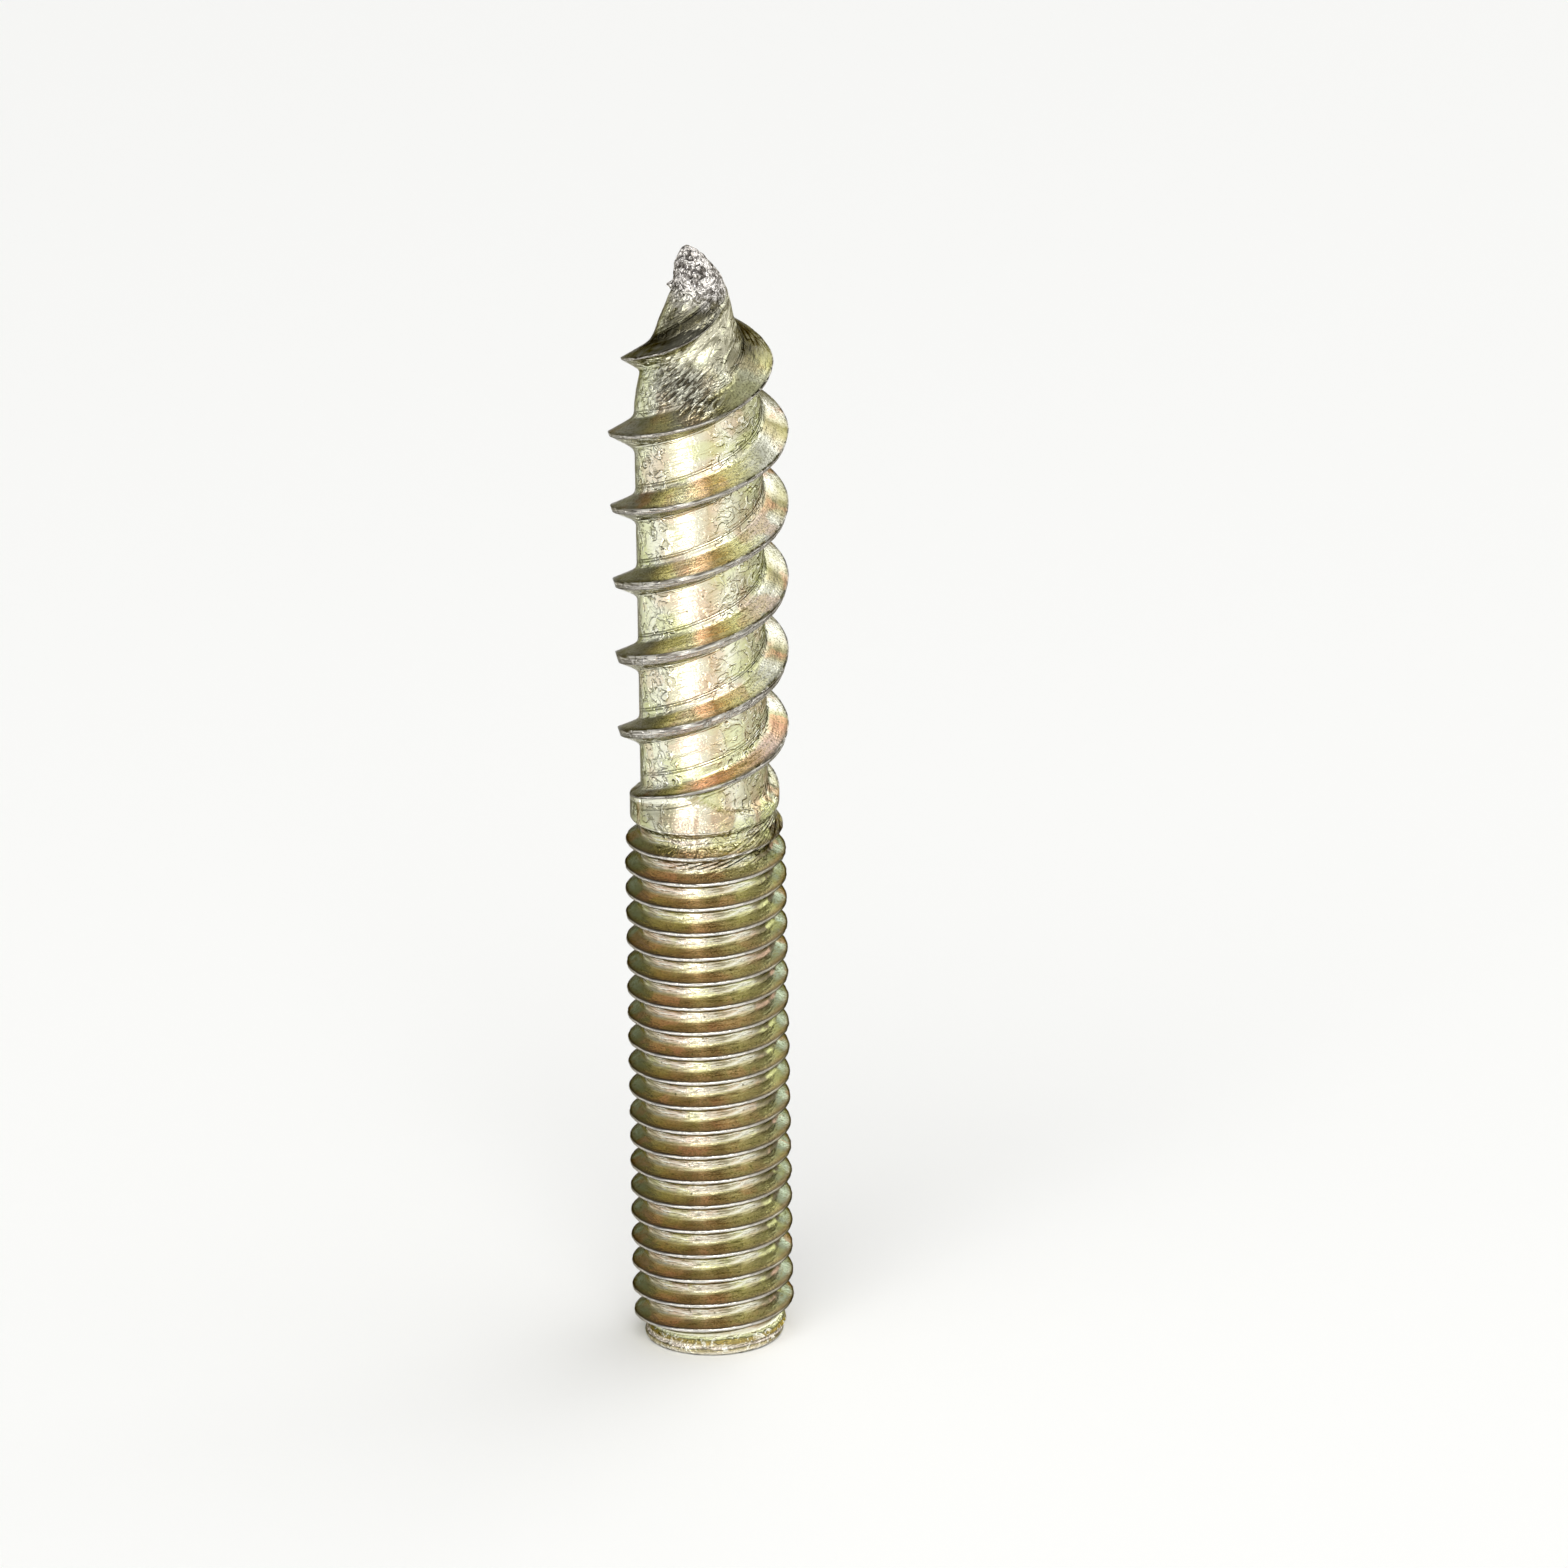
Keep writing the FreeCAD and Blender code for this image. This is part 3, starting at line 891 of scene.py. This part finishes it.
class PlatedSurface:
    """Node work of the finish: shared patterns, coats of colour from the film outwards, and relief."""

    def __init__(self, finish: YellowZinc, tree: bpy.types.NodeTree) -> None:
        """Read the mesh and lay out what all coats share.

        Args:
            finish: Colours and sizes of the finish.
            tree: Empty node tree of the material.
        """
        self.finish = finish
        self.node = node = partial(add_node, tree)
        spot = node("TexCoord", take="Object")
        self.place = node("Mapping", {"Vector": spot, "Scale": (1 / MM, 1 / MM, 1 / MM)})
        self.zone = {zone: node("Attribute", take="Fac", attribute_name=zone.value) for zone in Zone}
        x, y, self.up = (node("SeparateXYZ", {"Vector": self.place}, take=axis) for axis in "XYZ")
        along = node("CombineXYZ", {"X": x, "Y": y, "Z": self.zone[Zone.ABOVE]})
        self.grain: dict[Grain, Socket] = {}
        for grain in Grain:
            size, detail, swirl, lean = grain.value
            laid = node("Mapping", {
                "Vector": along if grain is Grain.DRAWN else self.place, "Rotation": (0, lean, 0),
                "Scale": size}, vector_type="TEXTURE")
            self.grain[grain] = node("TexNoise", {
                "Vector": laid, "Scale": 1.0, "Detail": detail, "Distortion": swirl})
        turn = node("Math", {0: y, 1: x}, operation="ARCTAN2")
        share = node("Math", {0: turn, 1: 1 / math.pi, 2: finish.turn_start}, operation="MULTIPLY_ADD")
        share = node("Math", {
            0: self.grain[Grain.CLOUDS], 1: finish.wander, 2: share}, operation="MULTIPLY_ADD")
        self.share = node("Math", {0: share}, operation="FRACT")
        self.off_flank = node("Math", {0: 1.0, 1: self.zone[Zone.FLANK]}, operation="SUBTRACT")
        self.on_machine = node("Math", {0: self.up, 1: finish.machine_top}, operation="LESS_THAN")
        self.on_wood = node("Math", {0: 1.0, 1: self.on_machine}, operation="SUBTRACT")
        late = self.mask(self.share, finish.right_side, self.zone[Zone.MACHINE])
        self.early = node("Math", {0: 1.0, 1: late}, operation="SUBTRACT")
        curled = node("ValToRGB", {"Fac": self.share}, stops=finish.curled_part)
        for limit in (self.off_flank, self.on_wood):
            curled = node("Math", {0: curled, 1: limit}, operation="MULTIPLY")
        self.curled = curled
        self.shank = self.line(self.up, finish.shank, self.off_flank)
        self.on_cone = self.mask(self.up, finish.on_cone)

    def mask(self, source: Socket, fade: Fade, *limits: Socket) -> Socket:
        """Make a mask that fades along a source and holds only within its limits.

        Args:
            source: What the mask follows.
            fade: Where along the source it fades, and how strongly.
            *limits: Other masks that it is multiplied by.

        Returns:
            The mask.
        """
        made = self.node("MapRange", {
            "Value": source, "From Min": fade.start, "From Max": fade.full, "To Min": fade.low,
            "To Max": fade.high})
        for limit in limits:
            made = self.node("Math", {0: made, 1: limit}, operation="MULTIPLY")
        return made

    def line(self, source: Socket, course: Span, *limits: Socket) -> Socket:
        """Make a soft line where a source passes a value.

        Args:
            source: What the line follows.
            course: The value at its middle and half its width.
            *limits: Masks that the line is multiplied by.

        Returns:
            The mask of the line.
        """
        middle, half = course
        away = self.node("Math", {0: source, 1: middle}, operation="SUBTRACT")
        away = self.node("Math", {0: away}, operation="ABSOLUTE")
        return self.mask(away, Fade(0.0, half, 1.0, 0.0), *limits)

    def coat(self, base: Socket | str, *layers: tuple[Socket, Socket | str]) -> Socket:
        """Lay coats of colour one after the other.

        Args:
            base: Colour under the coats.
            *layers: Mask and colour of each coat.

        Returns:
            The colour on top.
        """
        for cover, paint in layers:
            under, over = (linear(c) if isinstance(c, str) else c for c in (base, paint))
            base = self.node("Mix", {0: cover, 6: under, 7: over}, take=2, data_type="RGBA")
        return base

    def lay(self) -> None:
        """Lay all coats and the relief, and join them in the shader."""
        colour = self.coat(self.film(), (self.zone[Zone.FLANK], self.flanks()))
        colour = self.ends(colour)
        colour = self.coat(colour, (self.on_cone, self.pressed_cone()))
        colour = self.bare_metal(colour)
        bump = self.node("Bump", {"Height": self.relief(), "Strength": 1.0, "Distance": MM})
        shader = self.node("BsdfPrincipled", {
            "Base Color": colour, "Metallic": 1.0, "Normal": bump,
            "Roughness": self.mask(self.grain[Grain.GRIT], self.finish.glossy),
            "Specular Tint": linear(self.finish.grazing)})
        self.node("OutputMaterial", {"Surface": shader})

    def film(self) -> Socket:
        """Colour the core and the grooves: film tints with painted light, clouds of film, curled outlines and
        rolled streaks, and painted glints along both.

        Returns:
            The colour.
        """
        finish, node, clouds = self.finish, self.node, self.grain[Grain.CLOUDS]
        drawn, curls = self.grain[Grain.DRAWN], self.grain[Grain.CURLS]
        # The palettes round the screw hold film tints together with painted highlights and painted shade.
        core = node("ValToRGB", {"Fac": self.share}, stops=finish.roots)
        groove = node("ValToRGB", {"Fac": self.share}, stops=finish.machine_root_tints_and_painted_light)
        grooved = node("Math", {0: self.on_machine, 1: self.off_flank}, operation="MULTIPLY")
        # Painted glints: white lines beside the curls and along the rolled streaks.
        painted_glints = node("Math", {
            0: self.line(curls, finish.curl_painted_glint, self.curled),
            1: self.mask(drawn, finish.rolled, grooved, self.early)}, operation="MAXIMUM")
        shade = self.mask(drawn, finish.scratched)
        for line in (self.mask(drawn, finish.creased, grooved),
                     *(self.line(curls, course, self.curled) for course in finish.curl_lines)):
            shade = node("Math", {0: shade, 1: line}, operation="MAXIMUM")
        shade = node("Math", {0: shade, 1: finish.line_strength}, operation="MULTIPLY")
        fillet = self.mask(self.zone[Zone.ABOVE], finish.by_flank, self.on_machine, self.early)
        return self.coat(
            core, (self.on_machine, groove), (self.mask(clouds, finish.blushing), finish.pink),
            (self.mask(clouds, finish.mossy), finish.green), (painted_glints, finish.painted_glint_colour),
            (shade, finish.film_line_and_painted_shade), (fillet, finish.fillet))

    def flanks(self) -> Socket:
        """Colour the flanks, where the film is thickest; their palettes also carry painted highlights and
        painted shade.

        Returns:
            The colour.
        """
        finish, node, clouds = self.finish, self.node, self.grain[Grain.CLOUDS]
        # Flank palettes: film tints together with painted highlights and painted shade round the screw.
        wood = node("ValToRGB", {"Fac": self.share}, stops=finish.wood_flank_tints_and_painted_light)
        machine = node("ValToRGB", {"Fac": self.share}, stops=finish.machine_flank_tints_and_painted_light)
        right_half = self.mask(self.share, finish.right_half)
        return self.coat(
            wood, (self.zone[Zone.MACHINE], machine),
            (self.mask(clouds, finish.flushed, self.early), finish.flush),
            (self.mask(clouds, finish.tarnished), finish.olive),
            (self.mask(self.up, finish.last_turn), finish.olive),
            (self.mask(self.up, finish.first_turns, self.on_wood, right_half), finish.copper),
            (self.mask(self.zone[Zone.ABOVE], finish.by_crest, self.zone[Zone.MACHINE]), finish.rust),
            (self.mask(self.grain[Grain.GRIT], finish.speckled), finish.film_line_and_painted_shade))

    def ends(self, colour: Socket) -> Socket:
        """Lay the flat end's bands with painted highlights and shade, painted glints on its flecks, painted
        shade on the shank's left, the shank's run marks, pinholes, and a painted highlight on the ridges'
        undersides.

        Args:
            colour: Colour of the film.

        Returns:
            The colour with these on it.
        """
        finish, node = self.finish, self.node
        low = self.mask(self.up, finish.flat_end)
        banded = node("Math", {
            0: self.grain[Grain.DRAWN], 1: finish.band_wander, 2: self.up}, operation="MULTIPLY_ADD")
        # The flat end's bands carry painted highlights on its rims and painted shade between them.
        band = node("ValToRGB", {"Fac": self.mask(banded, finish.bands)}, stops=finish.end_band_tones_and_painted_light)
        pinhole = node("TexVoronoi", {
            "Vector": self.place, "Scale": 1 / finish.pinhole_gap}, take="Distance")
        # A painted highlight on the ridges' lower flanks.
        below = node("Math", {
            0: self.zone[Zone.UNDER], 1: finish.underside_highlight_strength}, operation="MULTIPLY")
        painted_underside_highlight = self.coat(finish.under, (self.zone[Zone.MACHINE], finish.machine_underside_highlight))
        return self.coat(
            # The flat end's flecks get painted glints.
            colour, (low, band), (self.mask(self.grain[Grain.CRUMPLE], finish.fleck_painted_glints, low), finish.painted_glint_colour),
            # Painted shade on the left of the plain shank.
            (self.mask(self.share, finish.left_painted_shade, self.shank), finish.film_line_and_painted_shade),
            (self.mask(self.grain[Grain.RUNS], finish.run_marks, self.shank), finish.tan),
            (self.mask(pinhole, finish.pinholes), finish.film_line_and_painted_shade), (below, painted_underside_highlight))

    def pressed_cone(self) -> Socket:
        """Colour the cone between the last ridges and the point, swept by the pressing of the point, with a
        painted shadow just above each ridge.

        Returns:
            The colour.
        """
        finish, node, sweeps = self.finish, self.node, self.grain[Grain.SWEEPS]
        past = node("Math", {
            0: self.grain[Grain.DRAWN], 1: finish.ridge_wander, 2: self.zone[Zone.ABOVE]},
            operation="MULTIPLY_ADD")
        past = node("Math", {0: past, 1: finish.ridge_shift}, operation="SUBTRACT")
        past = self.mask(past, finish.past_ridge)
        clear = self.mask(past, finish.past_shadow)
        aloft = self.mask(self.up, finish.aloft)
        # The cone's palette is darkest just above each ridge: a painted shadow.
        return self.coat(
            node("ValToRGB", {"Fac": past}, stops=finish.cone),
            (self.mask(sweeps, finish.swept, clear), finish.swirl_pale),
            (self.mask(sweeps, finish.shaded, clear), finish.swirl_dark),
            (self.mask(self.grain[Grain.STRANDS], finish.scraped, aloft), finish.film_line_and_painted_shade))

    def bare_metal(self, colour: Socket) -> Socket:
        """Rub the crests, bare the point with painted highlights on its lumps and painted shade in its pits,
        burn the scar, and paint shade into the creases, the hollows and along the crests' edges.

        Args:
            colour: Colour of the plated surface.

        Returns:
            The finished colour.
        """
        finish, node, zone, crumple = self.finish, self.node, self.zone, self.grain[Grain.CRUMPLE]
        shine = node("Math", {
            0: zone[Zone.MACHINE], 1: finish.machine_shine,
            2: self.mask(self.grain[Grain.DRAWN], finish.worn)}, operation="MULTIPLY_ADD", use_clamp=True)
        # The crests' palette round the screw holds the metal's tone together with painted highlights and
        # painted shade.
        crest_tone_and_painted_light = node("ValToRGB", {"Fac": self.share}, stops=finish.machine_crest_tones_and_painted_light)
        crest_tone_and_painted_light = self.coat(finish.crest_light, (zone[Zone.MACHINE], crest_tone_and_painted_light))
        crest = self.coat(finish.bare_dark, (shine, crest_tone_and_painted_light))
        # The point is painted white on its lumps and dark in its pits: painted highlights and painted shade.
        point = self.coat(finish.bare_dark, (self.mask(crumple, finish.point_painted_highlights), finish.bare))
        scar = self.coat(finish.burnt, (
            self.mask(self.grain[Grain.STRANDS], finish.singed), finish.burnt_light))
        # Painted shade: dark lines in the hollows of the point and the smear, below the folds, and along the
        # crests' edges.
        hollow_shade_reach = node("Math", {
            0: zone[Zone.SMEAR], 1: finish.smear_painted_shade, 2: zone[Zone.POINT]}, operation="MULTIPLY_ADD")
        painted_shade = self.line(crumple, finish.hollows, hollow_shade_reach)
        for fold in finish.folds:
            crease = self.line(
                zone[Zone.FOLD], (fold + finish.crease_shift, finish.crease_half), zone[Zone.SMEAR])
            painted_shade = node("Math", {0: painted_shade, 1: crease}, operation="MAXIMUM")
        painted_shade = node("Math", {0: painted_shade, 1: zone[Zone.EDGE]}, operation="MAXIMUM")
        painted_shade = node("Math", {0: painted_shade, 1: finish.painted_shade_strength}, operation="MULTIPLY")
        return self.coat(
            colour, (zone[Zone.CREST], crest), (zone[Zone.POINT], point), (zone[Zone.SCAR], scar),
            (painted_shade, finish.painted_shade))

    def relief(self) -> Socket:
        """Add up the relief that is too fine for the mesh.

        Returns:
            Height in millimetres.
        """
        finish, node, zone, grain = self.finish, self.node, self.zone, self.grain
        torn = node("Math", {
            0: self.on_cone, 1: finish.cone_strands, 2: zone[Zone.SCAR]}, operation="MULTIPLY_ADD")
        parts = [(grain[Grain.CLOUDS], finish.cloud_swell)]
        parts += [(self.line(zone[Zone.FOLD], (fold, finish.fold_half), zone[Zone.SMEAR]), finish.fold_height)
                  for fold in finish.folds]
        parts += [(grain[Grain.DRAWN], finish.drawn_depth)]
        parts += [(self.line(zone[Zone.ABOVE], (above, finish.rolling_half)), finish.rolling_depth)
                  for above in finish.rolling_lines]
        parts += [(grain[Grain.GRIT], finish.grit_depth)]
        for pattern, limit, depth in (
                (Grain.SWEEPS, self.on_cone, finish.sweep_depth),
                (Grain.STRANDS, torn, finish.strand_depth),
                (Grain.CRUMPLE, zone[Zone.POINT], finish.point_depth),
                (Grain.CRUMPLE, zone[Zone.SMEAR], finish.smear_depth)):
            held = node("Math", {0: grain[pattern], 1: limit}, operation="MULTIPLY")
            parts.append((held, depth))
        step = self.mask(grain[Grain.CURLS], finish.step, self.curled)
        height = node("Math", {0: step, 1: finish.curl_step}, operation="MULTIPLY")
        for part, depth in parts:
            height = node("Math", {0: part, 1: depth, 2: height}, operation="MULTIPLY_ADD")
        return height


@dataclass(frozen=True)
class PalePaper:
    """Smooth matt paper: even and nearly white, with hardly any gloss."""

    white: str = "#F9F9F7"
    roughness: float = 0.8
    gloss: float = 0.2

    def material(self) -> bpy.types.Material:
        """Make the material.

        Returns:
            The node material of the floor.
        """
        made = bpy.data.materials.new("pale_paper")
        made.use_nodes = True
        made.node_tree.nodes.clear()
        shader = add_node(made.node_tree, "BsdfPrincipled", {
            "Base Color": linear(self.white), "Roughness": self.roughness, "Specular IOR Level": self.gloss})
        add_node(made.node_tree, "OutputMaterial", {"Surface": shader})
        return made


@dataclass(frozen=True)
class SoftLamp:
    """A rectangular lamp that the camera doesn't see, in millimetres. A radiance of 1 is white."""

    name: str
    place: Point
    target: Point
    size: Span
    radiance: float
    turn: float = 0.0

    def hang(self) -> None:
        """Hang the lamp and point it at its target."""
        data = bpy.data.lights.new(self.name, "AREA")
        data.shape = "RECTANGLE"
        data.size, data.size_y = self.size[0] * MM, self.size[1] * MM
        data.energy = self.radiance * math.pi * data.size * data.size_y
        lamp = bpy.data.objects.new(self.name, data)
        bpy.context.scene.collection.objects.link(lamp)
        way = Vector(self.target) - Vector(self.place)
        turned = way.to_track_quat("-Z", "Y").to_matrix().to_4x4()
        turned = turned @ Matrix.Rotation(math.radians(self.turn), 4, "Z")
        lamp.matrix_world = Matrix.Translation(Vector(self.place) * MM) @ turned
        lamp.visible_camera = False


@dataclass
class Studio:
    """Pale floor, soft light and the camera at the photograph's angle."""

    elevation: float = 0.3818
    roll: float = -0.017
    distance: float = 1700.0
    pixels_per_mm: float = 33.443
    picture: float = 1568.0
    middle: float = 17.5
    aim: Span = (2.381, 0.113)
    sensor: float = 36.0
    clip: Span = (0.01, 20.0)
    floor_side: float = 4.0
    floor_finish: PalePaper = PalePaper()
    # A window at the back right, a softbox above the front, and a low window at the front left.
    lamps: tuple[SoftLamp, ...] = (
        SoftLamp("right_window", (260, 250, 260), (0, 0, 17), (300, 240), 0.9),
        SoftLamp("front_softbox", (-60, -330, 430), (0, 0, 0), (420, 260), 3.3),
        SoftLamp("low_window", (-28.4, -60.9, 1.0), (-28.4, -60.9, 50), (17, 84), 3.3, 25),
    )
    # Dimmer overhead and at the back left, brighter at the back right: direction and fade.
    room: tuple[tuple[Point, Fade], ...] = (
        ((0.0, 0.0, 1.0), Fade(0.5, 0.92, 1.06, 0.5)),
        ((-0.74, 0.5, 0.45), Fade(0.45, 0.85, 1.0, 0.35)),
        ((0.72, 0.42, 0.55), Fade(0.6, 0.95, 1.0, 1.45)),
    )

    def build(self) -> None:
        """Make the floor, the world, the lamps and the camera."""
        self.lay_floor()
        self.light_room()
        for lamp in self.lamps:
            lamp.hang()
        self.set_camera()

    def lay_floor(self) -> None:
        """Lay a large pale sheet under the screw."""
        bpy.ops.object.select_all(action="DESELECT")
        bpy.ops.mesh.primitive_plane_add(size=self.floor_side, location=(0, 0, 0))
        floor = bpy.context.object
        floor.name = "studio_floor"
        floor.data.materials.append(self.floor_finish.material())

    def light_room(self) -> None:
        """Light the room from all round, a little uneven as a real room is."""
        world = bpy.data.worlds.new("soft_room")
        bpy.context.scene.world = world
        world.use_nodes = True
        world.node_tree.nodes.clear()
        node = partial(add_node, world.node_tree)
        way = node("TexCoord", take="Generated")
        level = 1.0
        for toward, fade in self.room:
            facing = node("VectorMath", {0: way, 1: toward}, take="Value", operation="DOT_PRODUCT")
            part = node("MapRange", {
                "Value": facing, "From Min": fade.start, "From Max": fade.full, "To Min": fade.low,
                "To Max": fade.high})
            level = node("Math", {0: level, 1: part}, operation="MULTIPLY")
        glow = node("Background", {"Color": (1, 1, 1, 1), "Strength": level})
        node("OutputWorld", {"Surface": glow})

    def set_camera(self) -> None:
        """Place the camera as the photograph was taken, with no shift."""
        right = Vector((1, 0, 0))
        up = Vector((0, math.sin(self.elevation), math.cos(self.elevation)))
        back = Vector((0, -math.cos(self.elevation), math.sin(self.elevation)))
        target = Vector((0, 0, self.middle)) + right * self.aim[0] + up * self.aim[1]
        data = bpy.data.cameras.new("camera")
        data.sensor_width = self.sensor
        data.lens = self.pixels_per_mm * self.distance / self.picture * self.sensor
        data.clip_start, data.clip_end = self.clip
        camera = bpy.data.objects.new("camera", data)
        bpy.context.scene.collection.objects.link(camera)
        turned = back.to_track_quat("Z", "Y").to_matrix().to_4x4() @ Matrix.Rotation(self.roll, 4, "Z")
        camera.matrix_world = Matrix.Translation((target + back * self.distance) * MM) @ turned
        bpy.context.scene.camera = camera
        bpy.context.scene.view_settings.view_transform = "Standard"


def main() -> None:
    """Build the screw, dress it, and set up the studio."""
    logging.basicConfig(level=logging.INFO, format="%(message)s")
    Studio().build()
    screw = DowelScrew().build()
    screw.data.materials.clear()
    screw.data.materials.append(YellowZinc().material())
    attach(screw, "root")
    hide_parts("dowel_screw")
    LOG.info("%s: %d faces", screw.name, len(screw.data.polygons))


if __name__ == "__main__":
    main()
